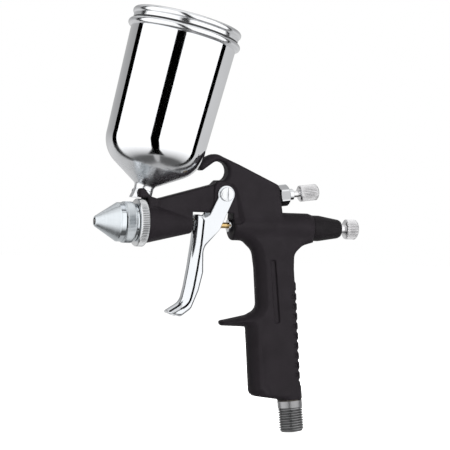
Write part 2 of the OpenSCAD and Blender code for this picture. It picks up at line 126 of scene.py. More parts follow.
def spread(tree, value, low, high, start=0.3, end=0.7):
    """Maps a value from the range start to end onto the range low to high."""
    node = add_node(tree, "MapRange", {"From Min": start, "From Max": end, "To Min": low,
                                       "To Max": high, "Value": value})
    return node.outputs["Result"]


def swap(tree, factor, low, high):
    """A value that is low where factor is 0 and high where it is 1."""
    return add_node(tree, "Mix", {"Factor": factor, "A": low, "B": high}).outputs["Result"]


def blend(tree, factor, low, high, kind="MIX"):
    """A colour that is low where factor is 0 and high where it is 1. low may be a socket."""
    low = (*low, 1) if isinstance(low, tuple) else low
    node = add_node(tree, "Mix", {"Factor": factor, "A": low, "B": (*high, 1)},
                    data_type="RGBA", blend_type=kind)
    return node.outputs["Result"]


def tint(tree, value, dark, light):
    """A colour between dark and light, by a noise value."""
    return blend(tree, spread(tree, value, 0, 1), dark, light)


def maths(tree, operation, value, other=0.0):
    node = add_node(tree, "Math", {0: value, 1: other}, operation=operation)
    return node.outputs["Value"]


def bump(tree, shader, value, height, strength=1.0, below=None):
    """Raises the surface by up to height metres where value is 1, over another bump below."""
    node = add_node(tree, "Bump", {"Strength": strength, "Distance": height, "Height": value})
    if below:
        feed(node, "Normal", below)
    feed(shader, "Normal", node.outputs["Normal"])
    return node.outputs["Normal"]


def in_grooves(tree, shader, colour, groove_shade=0.45):
    """Paints shade into the grooves of a knurl or a thread by darkening the colour there."""
    groove = add_node(tree, "Attribute", {}, attribute_name="groove").outputs["Fac"]
    feed(shader, "Base Color", blend(tree, groove, colour, (1 - groove_shade,) * 3, "MULTIPLY"))


def zone(tree, direction, start, end, soft=0.0002):
    """1 where a place's distance along direction is between start and end metres, else 0."""
    dot = add_node(tree, "VectorMath", {0: object_coordinates(tree), 1: direction},
                   operation="DOT_PRODUCT")
    middle, half = (start + end) / 2, (end - start) / 2
    away = maths(tree, "ABSOLUTE", maths(tree, "SUBTRACT", dot.outputs["Value"], middle))
    return spread(tree, away, 1, 0, half - soft, half + soft)


def enamel(name, dark, light):
    """Stoved black enamel over a casting: orange peel, a fine grain and dull patches."""
    material, tree, shader = new_material(name, dark, roughness=0.4, Specular_IOR_Level=0.07)
    feed(shader, "Base Color", tint(tree, noise(tree, 0.009), dark, light))
    dull = spread(tree, noise(tree, 0.014, detail=5), 0.40, 0.52)
    feed(shader, "Roughness", dull)
    peel = bump(tree, shader, noise(tree, 0.0016, detail=1), 0.00003, 0.5)
    bump(tree, shader, noise(tree, 0.0003, detail=2), 0.00001, 0.5, peel)
    return material


def plated(name, dark, light, low, high, ripple=0.000006, size=0.002):
    """Bright plate over formed metal: slow ripples, faint smears and fine scratches."""
    material, tree, shader = new_material(name, light, metallic=1.0, roughness=low)
    # painted shade: the colour is darkened in the grooves of knurls and threads
    in_grooves(tree, shader, tint(tree, noise(tree, 0.02, detail=4), dark, light))
    smear = spread(tree, noise(tree, 0.006, detail=6, stretch=(1, 1, 0.3)), low, high)
    feed(shader, "Roughness", smear)
    wave = bump(tree, shader, noise(tree, size, detail=1), ripple, 0.6)
    scratch = noise(tree, 0.0009, detail=2, stretch=(0.12, 1, 1))
    bump(tree, shader, scratch, 0.0000012, 0.4, wave)
    return material


def cup_plate():
    """Bright plate on the spun cup, softer on the bowl, the rolled rim and the lid."""
    material, tree, shader = new_material("cup_plate", (0.84, 0.85, 0.87), metallic=1.0,
                                          roughness=0.04)
    tone = tint(tree, noise(tree, 0.02, detail=4), (0.80, 0.81, 0.83), (0.84, 0.85, 0.87))
    feed(shader, "Base Color", tone)
    up = (CUP.c, 0, CUP.s)
    foot = float(np.dot(to_row((CUP.x, 0, CUP.z)), up))
    rim = zone(tree, up, foot + RIM_FROM * MM, foot + 120 * MM, 0.0004)
    bowl = zone(tree, up, foot - 20 * MM, foot + SOFT_BOWL_TO * MM, 0.007)
    bright = spread(tree, noise(tree, 0.008, detail=6), 0.03, 0.06)
    satin = spread(tree, noise(tree, 0.003, detail=6, stretch=(1, 1, 3)), 0.13, 0.2)
    soft = spread(tree, noise(tree, 0.006, detail=6), 0.2, 0.34)
    plate = swap(tree, bowl, swap(tree, rim, bright, satin), soft)
    feed(shader, "Roughness", plate)
    wave = bump(tree, shader, noise(tree, 0.012, detail=1), 0.000012, 0.6)
    bump(tree, shader, noise(tree, 0.0009, detail=2, stretch=(1, 1, 0.12)), 0.0000015, 0.4, wave)
    return material


def turned_metal(name, dark, light, low, high, groove=0.00022, depth=0.000004):
    """Metal left from the lathe: rings across the barrel axis over a mottled tone."""
    material, tree, shader = new_material(name, light, metallic=1.0, roughness=low,
                                          Anisotropic=0.35)
    streak = noise(tree, 0.0009, detail=3, stretch=(1, 0.06, 0.06))
    # painted shade: the colour is darkened in the grooves of knurls and threads
    in_grooves(tree, shader, tint(tree, streak, dark, light), 0.5)
    feed(shader, "Roughness", spread(tree, streak, low, high))
    rings = noise(tree, groove, detail=2, stretch=(1, 0.02, 0.02))
    bump(tree, shader, rings, depth, 0.7)
    return material


def cap_metal():
    """The air cap: a satin turned cone, and polished steps at each side of its knurl."""
    material, tree, shader = new_material("satin_aluminium", (0.7, 0.74, 0.77), metallic=1.0,
                                          roughness=0.3)
    streak = noise(tree, 0.0009, detail=3, stretch=(1, 0.06, 0.06))
    # painted shade: the colour is darkened in the grooves of the knurl
    in_grooves(tree, shader, tint(tree, streak, (0.64, 0.68, 0.71), (0.72, 0.76, 0.79)), 0.6)
    start = float(ORIGIN[0])
    step = zone(tree, (1, 0, 0), start + 11.9 * MM, start + 15.4 * MM)
    neck = zone(tree, (1, 0, 0), start + 20.15 * MM, start + 30 * MM)
    polished = maths(tree, "MAXIMUM", step, neck)
    satin = spread(tree, streak, 0.28, 0.36)
    feed(shader, "Roughness", swap(tree, polished, satin, 0.08))
    rings = noise(tree, 0.0003, detail=2, stretch=(1, 0.02, 0.02))
    bump(tree, shader, rings, 0.0000015, 0.6)
    return material


def matt(name, dark, light, low, high, grain=0.0004, height=0.00001):
    """Rubber, fibre or plastic with a fine grain."""
    material, tree, shader = new_material(name, dark, roughness=low)
    feed(shader, "Base Color", tint(tree, noise(tree, 0.002), dark, light))
    feed(shader, "Roughness", spread(tree, noise(tree, 0.001), low, high))
    bump(tree, shader, noise(tree, grain, detail=2), height, 0.5)
    return material


def make_materials():
    """One finish for each material slot of the record."""
    return {
        "body_coating": enamel("black_enamel", (0.0155, 0.0132, 0.0155), (0.0195, 0.0165, 0.0195)),
        "tail_coating": enamel("tail_enamel", (0.0115, 0.0102, 0.0115), (0.015, 0.0132, 0.015)),
        "cup_chrome": cup_plate(),
        "trigger_chrome": plated("trigger_plate", (0.70, 0.72, 0.745), (0.75, 0.77, 0.795),
                                 0.06, 0.12, 0.00003, 0.006),
        "cap_aluminium": cap_metal(),
        "ring_nickel": plated("ring_plate", (0.70, 0.71, 0.72), (0.80, 0.81, 0.82), 0.12, 0.22),
        "knob_nickel": plated("knob_plate", (0.76, 0.755, 0.765), (0.86, 0.855, 0.865), 0.2, 0.3),
        "fastener_nickel": plated("fastener_plate", (0.72, 0.73, 0.75), (0.82, 0.83, 0.85),
                                  0.08, 0.16),
        "nozzle_steel": turned_metal("machined_steel", (0.24, 0.23, 0.22), (0.36, 0.35, 0.34),
                                     0.25, 0.38),
        "needle_steel": turned_metal("ground_steel", (0.55, 0.55, 0.57), (0.7, 0.7, 0.72),
                                     0.15, 0.25, 0.0001, 0.000002),
        "spring_steel": plated("spring_wire", (0.40, 0.41, 0.43), (0.55, 0.56, 0.58), 0.2, 0.3,
                               0.000004, 0.001),
        "brass": turned_metal("turned_brass", (0.62, 0.42, 0.17), (0.78, 0.57, 0.27),
                              0.16, 0.28, 0.0003, 0.000005),
        "ptfe": matt("white_ptfe", (0.74, 0.74, 0.70), (0.84, 0.84, 0.80), 0.4, 0.55),
        "seal_rubber": matt("nitrile", (0.012, 0.012, 0.012), (0.03, 0.03, 0.03), 0.45, 0.65),
        "fibre_washer": matt("dark_fibre", (0.03, 0.025, 0.022), (0.07, 0.06, 0.05), 0.6, 0.8),
        "inlet_nickel": plated("dull_nickel", (0.28, 0.28, 0.285), (0.42, 0.42, 0.425), 0.26, 0.42,
                               0.00001, 0.0015),
        "strainer_steel": plated("strainer_plate", (0.5, 0.5, 0.52), (0.62, 0.62, 0.64),
                                 0.2, 0.3, 0.000004, 0.001),
    }


# ------------------------------------------------------------------ outlines

def arc(centre, radius, start, end, steps=12):
    """Points on an arc about centre, from start to end degrees."""
    turn = np.radians(np.linspace(start, end, steps + 1))
    return [(centre[0] + radius * math.cos(t), centre[1] + radius * math.sin(t)) for t in turn]


def rounded(corners, steps=6):
    """An outline from (u, v, radius) corners, each turned into an arc of its radius."""
    points = []
    for i, (u, v, radius) in enumerate(corners):
        if radius <= 0:
            points.append((u, v))
            continue
        here = np.array([u, v], float)
        before = np.array(corners[i - 1][:2]) - here
        after = np.array(corners[(i + 1) % len(corners)][:2]) - here
        a, b = before / np.linalg.norm(before), after / np.linalg.norm(after)
        half = math.acos(np.clip(a @ b, -1, 1)) / 2
        middle = (a + b) / np.linalg.norm(a + b)
        centre = here + middle * radius / math.sin(half)
        first = here + a * radius / math.tan(half) - centre
        last = here + b * radius / math.tan(half) - centre
        start = math.atan2(first[1], first[0])
        turn = math.atan2(first[0] * last[1] - first[1] * last[0], first @ last)
        points += arc(centre, radius, *np.degrees([start, start + turn]), steps)
    return points


def sharp_corners(points):
    """Outline points as corners that stay sharp."""
    return [(u, v, 0) for u, v in points]


# ------------------------------------------------------------------ turned pieces

class Axis:
    """A line in the middle plane, from (x, z) and leaning lean degrees up from +x."""

    def __init__(self, x, z, lean):
        self.x, self.z = x, z
        self.c, self.s = math.cos(math.radians(lean)), math.sin(math.radians(lean))

    def at(self, along, radius, angle):
        across, up = radius * np.cos(angle), radius * np.sin(angle)
        return np.stack([self.x + along * self.c - up * self.s, across + 0 * along,
                         self.z + along * self.s + up * self.c], axis=-1)

    def along(self, x, z):
        return (x - self.x) * self.c + (z - self.z) * self.s

    def across(self, x, z):
        return (z - self.z) * self.c - (x - self.x) * self.s

    def away(self, x, y, z):
        return np.hypot(self.across(x, z), y)

    def rod(self, x, y, z, *size):
        """The field of a rod on this axis, from its start, end and radius."""
        return rod_field(self.along(x, z), self.away(x, y, z), *size)


CUP_LEAN = 13.5
BARREL = Axis(0, 0, 0)
CUP = Axis(26.6, 17.8, 90 - CUP_LEAN)
INLET = Axis(114.1, -108.4, 90 + 6.5)
AIR = Axis(101.8, 16.6, 7.5)
# heights on the cup where the soft bowl ends and the satin rim begins
SOFT_BOWL_TO = 15
RIM_FROM = 81.3
# a groove this deep gets the darkest painted shade
FULL_GROOVE = 0.4


def new_object(name, points, faces):
    """A mesh object from points in the gun's frame."""
    mesh = bpy.data.meshes.new(name)
    mesh.from_pydata(to_row(points).tolist(), [], np.asarray(faces).tolist())
    return add_to_scene(name, mesh)


def smooth(mesh, merge):
    """Turns all faces outward and shades them smooth. merge joins points that coincide."""
    work = bmesh.new()
    work.from_mesh(mesh)
    if merge:
        bmesh.ops.remove_doubles(work, verts=work.verts, dist=1e-7)
        bmesh.ops.dissolve_degenerate(work, edges=work.edges, dist=1e-8)
    bmesh.ops.recalc_face_normals(work, faces=work.faces)
    work.to_mesh(mesh)
    work.free()
    mesh.shade_smooth()


def tidy_mesh(piece, sharp=38):
    """Joins points that coincide, turns all faces outward and smooths but the sharp edges."""
    smooth(piece.data, True)
    piece.data.set_sharp_from_angle(angle=math.radians(sharp))
    even = piece.modifiers.new("even_normals", "WEIGHTED_NORMAL")
    even.keep_sharp = True
    return piece


def lathe(name, axis, profile, segments=96, ripple=None, sharp=38):
    """A closed (along, radius) outline turned about an axis. ripple gives the real radius
    at (along, radius, angle), for knurls, hexagons and threads."""
    outline = np.array(profile, float)
    angle = np.arange(segments) * 2 * math.pi / segments
    along = np.repeat(outline[:, :1], segments, axis=1)
    uncut = np.repeat(outline[:, 1:], segments, axis=1)
    angles = np.repeat(angle[None], len(outline), axis=0)
    radius = ripple(along, uncut, angles) if ripple else uncut
    points = axis.at(along, radius, angles).reshape(-1, 3)
    rows = np.arange(len(outline))[:, None] * segments
    after = np.roll(rows, -1, axis=0)
    here = np.arange(segments)[None]
    beside = np.roll(here, -1, axis=1)
    faces = np.stack([rows + here, rows + beside, after + beside, after + here], axis=-1)
    piece = new_object(name, points, faces.reshape(-1, 4))
    # how deep each point lies in its groove, to shade knurls and threads
    groove = piece.data.attributes.new("groove", "FLOAT", "POINT")
    groove.data.foreach_set("value", np.clip((uncut - radius) / FULL_GROOVE, 0, 1).ravel())
    return tidy_mesh(piece, sharp)


def knurl(teeth, depth, start, end, outer, fade=0.35):
    """Straight ribs on the outside of a turned piece between two stations."""
    def ripple(along, radius, angle):
        wave = np.abs((angle * teeth / (2 * math.pi)) % 1 * 2 - 1)
        wave = np.clip((wave - 0.2) / 0.6, 0, 1)
        weight = np.clip((along - start) / fade, 0, 1) * np.clip((end - along) / fade, 0, 1)
        return radius - depth * wave * weight * (radius > outer - 0.6)
    return ripple


def hexagon(flats, start, end, rim):
    """Six flats on a turned piece, with the corners turned off at both ends."""
    def ripple(along, radius, angle):
        turn = ((angle + math.pi / 6) % (math.pi / 3)) - math.pi / 6
        flat = flats / 2 / np.cos(turn)
        edge = np.minimum(along - start, end - along)
        chamfer = rim + edge * 1.7
        inside = (along > start - 0.01) & (along < end + 0.01) & (radius > 4)
        return np.where(inside, np.minimum(flat, chamfer), radius)
    return ripple


# ------------------------------------------------------------------ distance fields

def polygon_field(u, v, outline):
    """Signed distance from (u, v) to a closed outline, negative inside."""
    inside = np.zeros(u.shape, bool)
    corners = [*outline, outline[0]]
    for (au, av), (bu, bv) in zip(corners, corners[1:]):
        if av != bv:
            inside ^= ((av > v) != (bv > v)) & (u < (bu - au) * (v - av) / (bv - av) + au)
    return np.where(inside, -1, 1) * line_field(u, v, corners)


def line_field(u, v, line):
    """Distance from (u, v) to an open line."""
    nearest = np.full(u.shape, 1e9)
    for (au, av), (bu, bv) in zip(line, line[1:]):
        eu, ev = bu - au, bv - av
        wu, wv = u - au, v - av
        t = np.clip((wu * eu + wv * ev) / max(eu * eu + ev * ev, 1e-12), 0, 1)
        nearest = np.minimum(nearest, (wu - eu * t) ** 2 + (wv - ev * t) ** 2)
    return np.sqrt(nearest)


def both(a, b, edge):
    """Inside a and b, with the edge between them rounded."""
    a, b = a + edge, b + edge
    return np.minimum(np.maximum(a, b), 0) + np.hypot(np.maximum(a, 0), np.maximum(b, 0)) - edge


def join(a, b, fillet):
    """Inside a or b, with a fillet between them."""
    h = np.clip(0.5 + 0.5 * (b - a) / fillet, 0, 1)
    return b + (a - b) * h - fillet * h * (1 - h)


def cut(a, b, edge):
    """Inside a but outside b, with the edge softened."""
    return -join(-a, b, edge)


def rod_field(along, away, start, end, radius):
    """A rod between two places on an axis."""
    return np.maximum(away - radius, np.maximum(start - along, along - end))


def box_field(du, dv, half_u, half_v, corner):
    """A rounded rectangle about du = dv = 0."""
    return both(np.abs(du) - half_u, np.abs(dv) - half_v, corner)


# Cells are looked at in blocks of this many each way. A block far from the surface is left
# out, with some spare distance for fields that aren't exact.
BLOCK = 4
SPARE = 1.2
# the grid for small pieces
FINE = 0.13
CORNERS = [(i, j, k) for i in (0, 1) for j in (0, 1) for k in (0, 1)]


def corners_of(grid, shift):
    """The grid's values at each cell's corner that lies shift along x, y and z."""
    sx, sy, sz = grid.shape
    i, j, k = shift
    return grid[i:sx - 1 + i, j:sy - 1 + j, k:sz - 1 + k]


def sample(field, low, high, pitch):
    """The field on a grid, worked out only near the surface, and the cells that are near."""
    blocks = np.ceil((high - low) / (BLOCK * pitch)).astype(int)
    middles = [low[k] + BLOCK * pitch * (np.arange(blocks[k]) + 0.5) for k in range(3)]
    near = np.abs(field(*np.meshgrid(*middles, indexing="ij"))) < BLOCK * pitch * 0.9 + SPARE
    live = near.repeat(BLOCK, 0).repeat(BLOCK, 1).repeat(BLOCK, 2)
    wanted = np.zeros(blocks * BLOCK + 1, bool)
    for shift in CORNERS:
        corners_of(wanted, shift)[...] |= live
    value = np.ones(wanted.shape, np.float32)
    spots = np.nonzero(wanted)
    value[spots] = field(*[low[k] + pitch * spots[k] for k in range(3)])
    return value, live


def middle_of_crossings(value, home):
    """In each crossed cell, the mean of the places where the surface crosses its edges."""
    total, hits = np.zeros((len(home), 3)), np.zeros((len(home), 1))
    for axis in range(3):
        for shift in CORNERS:
            if shift[axis]:
                continue
            a = home + shift
            b = a.copy()
            b[:, axis] += 1
            va, vb = value[tuple(a.T)], value[tuple(b.T)]
            cross = (va < 0) != (vb < 0)
            t = np.where(cross, va / np.where(cross, va - vb, 1), 0)
            total += np.where(cross[:, None], a + t[:, None] * np.eye(3)[axis], 0)
            hits += cross[:, None]
    return total / hits


def faces_between(inside, number):
    """A face for each grid edge that the surface crosses, through the four cells round it."""
    cells, quads = number.shape, []
    for axis in range(3):
        b, c = (axis + 1) % 3, (axis + 2) % 3
        ahead = np.take(inside, range(1, cells[axis] + 1), axis)
        behind = np.take(inside, range(cells[axis]), axis)
        spot = np.stack(np.nonzero(ahead != behind), axis=-1)
        u, v = spot[:, b], spot[:, c]
        spot = spot[(u > 0) & (v > 0) & (u < cells[b]) & (v < cells[c])]
        back_b, back_c = np.eye(3, dtype=int)[b], np.eye(3, dtype=int)[c]
        ring = [spot, spot - back_b, spot - back_b - back_c, spot - back_c]
        quad = np.stack([number[tuple(r.T)] for r in ring], axis=-1)
        out = behind[tuple(spot.T)]
        quads.append(np.where(out[:, None], quad[:, ::-1], quad))
    quads = np.concatenate(quads)
    return quads[(quads >= 0).all(axis=1)]


def skin(name, field, low, high, pitch, polish=3):
    """Meshes the surface of a distance field in mm with one point in each grid cell that
    it crosses, then draws the points onto the surface."""
    low, high = np.array(low, float), np.array(high, float)
    value, live = sample(field, low, high, pitch)
    inside = value < 0
    count = sum(corners_of(inside, shift).astype(np.uint8) for shift in CORNERS)
    crossed = live & (count > 0) & (count < 8)
    home = np.stack(np.nonzero(crossed), axis=-1)
    number = np.full(live.shape, -1, np.int64)
    number[crossed] = np.arange(len(home))
    quads = faces_between(inside, number)
    points = low + pitch * middle_of_crossings(value, home)
    piece = new_object(name, draw_on(field, points, quads, pitch, polish), quads)
    smooth(piece.data, False)
    return piece


def slope_of(field, points, step=0.04):
    """The field's value and slope at each point."""
    total = np.zeros_like(points)
    mean = 0
    for way in ((1, -1, -1), (-1, -1, 1), (-1, 1, -1), (1, 1, 1)):
        way = np.array(way, float)
        value = field(*(points + step * way).T)
        total += value[:, None] * way
        mean = mean + value / 4
    return mean, total / (4 * step)


def draw_on(field, points, quads, pitch, rounds):
    """Evens the spacing of the points and moves them onto the surface."""
    start, end = np.concatenate([quads[:, [k, (k + 1) % 4]] for k in range(4)]).T
    degree = np.bincount(start, minlength=len(points)) + np.bincount(end, minlength=len(points))
    for turn in range(rounds):
        if turn < rounds - 1:
            mean = np.stack([np.bincount(start, points[end, k], len(points))
                             + np.bincount(end, points[start, k], len(points))
                             for k in range(3)], axis=-1)
            points = points + 0.5 * (mean / degree[:, None] - points)
        value, slope = slope_of(field, points)
        steep = np.maximum((slope ** 2).sum(axis=1), 0.2)
        move = np.clip(value / steep, -0.5 * pitch, 0.5 * pitch)
        points = points - slope * move[:, None]
    return points


# ------------------------------------------------------------------ body casting

# half the width of the barrel and grip, and of the web
BODY_HALF = 6.8
WEB_HALF = 4.2
# the neck's seat in the saddle, and where the paint runs down from it
NECK_FLOOR = 13.1
PAINT_X = 29.3
PIVOT = (70.5, 16.3)
FRONT_WEB = rounded([
    (27.3, 0, 0), (53.2, 0, 0), (53.2, 6.5, 0), (66, 6.5, 0), (66, 21.9, 0), (33.4, 12.6, 0),
    (29, 11.4, 0), (27.3, 11.4, 0)])
REAR_WEB = rounded(
    [(103.5, 3, 0), (75.5, 3, 0), (75.5, 6.5, 0), (64.3, 6.5, 0), (64.3, 21.4, 0),
     (66.2, 23.7, 1.2)]
    + sharp_corners(arc((66.7, 28.3), 5.3, -65, 118, 20))
    + [(57.4, 28, 1.2), (55.5, 30.1, 1.2), (56.9, 33, 2), (60.3, 35.9, 4), (64.9, 38.1, 7),
       (100.6, 22.1, 3), (102.9, 5, 0)])
# the front line runs from under the barrel down the grip, over the finger stop, to the foot
GRIP_FRONT = rounded([
    (75.5, 0, 0), (75.5, -5.5, 2), (81.5, -7.2, 6), (88, -13, 7), (89.5, -22, 12),
    (91.35, -43.5, 5), (85.5, -46.9, 8), (73.5, -49.6, 4), (70.4, -50.2, 1.2), (71.2, -52.9, 1.4),
    (85.8, -53.25, 1.2), (89, -89.6, 3.6), (103, -91.2, 0)])[:-1]
GRIP_REAR = rounded([
    (89, -89.6, 0), (103, -91.2, 0.8), (117.2, -92.1, 0.8), (111.9, -29.6, 0.6),
    (111.2, -28.4, 0.4), (110.6, -22, 8), (110.4, -14, 6), (115, -9.4, 8), (121, -7.6, 0),
    (121, 0, 0)])[1:]
GRIP = GRIP_FRONT + GRIP_REAR
NOSE = 7.1
# the inlet's socket, which still just opens into the lowest notch
SOCKET_R = 4.8
PANEL = Axis(99.6, -34.3, 6.23)
HEAD_R, SPIGOT_R = 10.4, 8.9
PIVOT_BORE = 2.05
# the pocket in each side that the trigger's arms swing in, and half the width left between
ARM_POCKET = [(57, 5.5), (58.4, 5.5), (64.8, 16.3), (76.3, 16.3), (78, 5.5), (78, 4), (57, 4)]
POCKET_HALF = 5.0
SADDLE = rounded([
    (27.3, 8, 0), (33.4, 8, 0), (33.4, 12.6, 0), (28.6, 13.9, 1.5), (25.2, 17.9, 1.3),
    (21.9, 18, 1.4), (22.3, NECK_FLOOR, 0), (27.3, NECK_FLOOR, 0)])
HEAD = [(16, 0), (16, SPIGOT_R), (27.3, SPIGOT_R), (27.3, HEAD_R), (29.4, HEAD_R), (52.6, 4.9),
        (53.2, 4.3), (53.2, 0)]
BARREL_SIDE = rounded([(75.5, 0, 0), (75.5, 7.75, 1.3), (118.8, 7.75, 1), (121.2, 6.9, 0.2),
                       (121.2, 0, 0)])
# Bores on the barrel axis: from, to, radius
BARREL_BORES = [(14, 30, 4.55), (28, 41, 2.2), (40, 48, 0.95), (47, 56, 3.2), (73, 79.5, 2.95),
                (79, 83.5, 3), (83, 85, 2.4), (84, 123, 5)]
# the grip's ribs: a notch at the rear edge every 5.2 mm
NOTCHES = [(112.3 + 0.44 * i, -34 - 5.2 * i) for i in range(10)]
NOTCH_R = 0.95


def from_pivot(x, z):
    return np.hypot(x - PIVOT[0], z - PIVOT[1])


def body_field(x, y, z):
    """The whole casting."""
    wide = np.abs(y)
    barrel = np.hypot(y, z)
    front = both(polygon_field(x, z, FRONT_WEB), wide - WEB_HALF, 1.2)
    lean = BODY_HALF - (np.clip(z, 3, 38) - 3) * (BODY_HALF - WEB_HALF) / 35
    hook = 0.9 + 1.9 * np.clip((78 - x) / 8, 0, 1) * np.clip((z - 20) / 5, 0, 1)
    rear = both(polygon_field(x, z, REAR_WEB), wide - lean, hook)
    head = polygon_field(x, barrel, HEAD)
    tube = polygon_field(x, barrel, BARREL_SIDE)
    along, away = INLET.along(x, z), INLET.away(x, y, z)
    boss = both(np.maximum(17 - along, along - 24), away - BODY_HALF, 0.5)
    saddle = both(polygon_field(x, z, SADDLE), wide - 7, 1.1)
    body = join(join(front, head, 0.5), rear, 0.6)
    body = join(join(body, tube, 0.7), saddle, 0.9)
    body = join(join(body, grip_field(x, z, wide), 1.2), boss, 0.3)
    return body_cuts(body, x, y, z)


def grip_field(x, z, wide):
    """The grip: its front is one full round, its rear edges are smaller ones, and a soft
    hollow runs down each side of the foot behind the front round."""
    side = polygon_field(x, z, GRIP)
    front = line_field(x, z, GRIP_FRONT)
    front = np.where((side > 0) & (front < side + 0.01), -front, front)
    for u, v in NOTCHES:
        side = cut(side, np.hypot(x - u - 0.3, z - v) - NOTCH_R, 0.3)
    nose = np.hypot(np.maximum(NOSE - front, 0), wide) - NOSE
    hollow = 0.4 * np.exp(-((front - 6.2) / 1.5) ** 2) * np.clip((-58 - z) / 8, 0, 1)
    rear = both(side, wide - BODY_HALF, 2.8)
    return both(np.maximum(rear, nose), wide - BODY_HALF + hollow, 0.25)


def body_cuts(body, x, y, z):
    """Takes the bores, recesses and slots out of the casting."""
    wide = np.abs(y)
    barrel = np.hypot(y, z)
    arms = np.minimum(from_pivot(x, z) - 5.8, polygon_field(x, z, ARM_POCKET))
    ramp = POCKET_HALF + 0.6 * np.maximum(arms, 0)
    body = cut(body, np.maximum(arms - 3, ramp - wide), 0.4)
    body = cut(body, from_pivot(x, z) - PIVOT_BORE, 0.3)
    # recessed panel line on each side of the grip
    panel = box_field(PANEL.along(x, z), PANEL.across(x, z), 1.4, 16.75, 0.9)
    body = cut(body, np.maximum(panel, BODY_HALF - 1.1 - wide), 0.2)
    # a shallow dimple in each side between the notches
    for high, low in zip(NOTCHES[:-1], NOTCHES[1:]):
        u, v = (high[0] + low[0]) / 2 - 2.6, (high[1] + low[1]) / 2
        pad = box_field(x - u, z - v, 1.0, 1.0, 0.4)
        body = cut(body, np.maximum(np.maximum(pad, -body - 0.9), 3 - wide), 0.3)
    for start, end, radius in BARREL_BORES:
        body = cut(body, rod_field(x, barrel, start, end, radius), 0.25)
    # seats of the cup's neck, the air gland and the inlet, and the paint's way down
    body = cut(body, CUP.rod(x, y, z, -7, 13, 5.2), 0.25)
    body = cut(body, AIR.rod(x, y, z, -14.2, 5, 2.5), 0.25)
    body = cut(body, rod_field(z, np.hypot(x - PAINT_X, y), 0, NECK_FLOOR, 1.6), 0.2)
    ring = np.maximum(rod_field(x, barrel, 19.9, 27.3, 13), SPIGOT_R - barrel)
    body = cut(body, ring, 0.25)
    return cut(body, INLET.rod(x, y, z, 16, 29, SOCKET_R), 0.25)


# ------------------------------------------------------------------ trigger

# half the trigger's width and the thickness of its sheet
ARM_HALF = 6.3
ARM_WALL = 1.3
TRIGGER_SIDE = rounded(
    sharp_corners(arc(PIVOT, 4.7, -20, 200, 16))
    + [(61.2, 4.2, 3), (54.9, 5.6, 1.2), (53.6, -9, 0), (51.7, -23, 0), (50, -33, 6),
       (48.4, -40, 5), (40.4, -45.4, 0.6), (41.5, -46.7, 0.6), (47.6, -48.7, 2.5),
       (53.4, -44.4, 5), (57.4, -34.5, 7), (59.6, -25, 5), (59.2, -12.5, 8), (67.4, -2.4, 6)])
TRIGGER_NOSE = rounded([(57, 6.6, 0), (54.7, 5.6, 1.5), (53.6, -9, 40), (51.7, -23, 60),
                        (50, -33, 20), (48.2, -40.5, 7), (39, -46.2, 0)])[:-1] + [(39, -46.2)]


def trigger_field(x, y, z):
    """A pressed half-round channel with two arms up to the pivot."""
    wide = np.abs(y)
    side = polygon_field(x, z, TRIGGER_SIDE)
    front = line_field(x, z, TRIGGER_NOSE)
    nose = np.hypot(np.maximum(ARM_HALF - front, 0), wide) - ARM_HALF
    lever = np.clip((-3 - z) / 8, 0, 1)
    shell = np.maximum(both(side, nose, 0.45), both(side, wide - ARM_HALF, 0.45 + 1.9 * lever))
    inner = ARM_HALF - ARM_WALL - 0.7 * lever * np.clip(side + 1.8, 0, 1.8)
    hollow = np.hypot(np.maximum(ARM_HALF - front, 0), wide) - inner
    above = np.maximum(wide - (ARM_HALF - ARM_WALL), 5.6 - z)
    shell = cut(shell, np.minimum(hollow, above), 0.35)
    slot = np.maximum(box_field(y, z - 1.75, 1.1, 2.85, 0.8), x - 60)
    shell = cut(shell, slot, 0.3)
    return cut(shell, from_pivot(x, z) - PIVOT_BORE, 0.3)


def screw_field(x, y, z):
    """The slotted pivot screw, whose head is on the -y side."""
    away = from_pivot(x, z)
    shank = rod_field(y, away, -6.6, 6.6, 2.0)
    thread = both(np.maximum(6.4 - y, y - 8.2), away - 1.5, 0.2)
    dome = -8.0 + 0.35 * (away / 3.7) ** 2
    head = both(np.maximum(dome - y, y + 6.4), away - 3.7, 0.3)
    groove = np.hypot(away - 3.05, y + 8.0) - 0.28
    head = cut(head, groove, 0.12)
    slot = np.maximum(np.abs(x - PIVOT[0]) - 0.5, y + 7.1)
    return cut(np.minimum(np.minimum(shank, thread), head), slot, 0.12)


def nut_field(x, y, z):
    """The nut on the screw's far end: a collar and a head with two flats."""
    away = from_pivot(x, z)
    body = both(np.maximum(6.4 - y, y - 8.2), away - 3.7, 0.35)
    flat = np.abs(x - PIVOT[0]) - 3.1
    body = np.maximum(body, np.minimum(flat, 7.2 - y))
    return cut(body, away - 1.55, 0.15)


def gland_field(x, y, z):
    """The air valve's packing nut: a slotted ring with a spigot."""
    away = np.hypot(y, z)
    ring = both(np.maximum(73.7 - x, x - 75.5), away - 3.35, 0.3)
    spigot = rod_field(x, away, 75, 78.6, 2.9)
    slot = np.maximum(np.abs(z) - 0.45, x - 74.6)
    return cut(cut(np.minimum(ring, spigot), slot, 0.12), away - 1.6, 0.12)


def neck_field(x, y, z):
    """The chrome neck under the cup, with a lip over the lock ring in front of the saddle."""
    along, away = CUP.along(x, z), CUP.away(x, y, z)
    flare = NECK + 1.1 * np.clip((-1.2 - along) / 4.2, 0, 1)
    lip = np.maximum(rod_field(along, away, -8, -1.02, flare), np.maximum(x - 21.85, 12.75 - z))
    neck = rod_field(along, away, -7, -1.02, NECK)
    neck = np.maximum(np.minimum(neck, lip), NECK_FLOOR - z)
    neck = cut(neck, rod_field(along, away, -4, 1, NECK_BORE), 0.15)
    return cut(neck, rod_field(z, np.hypot(x - PAINT_X, y), 8, 18, 1.5), 0.15)


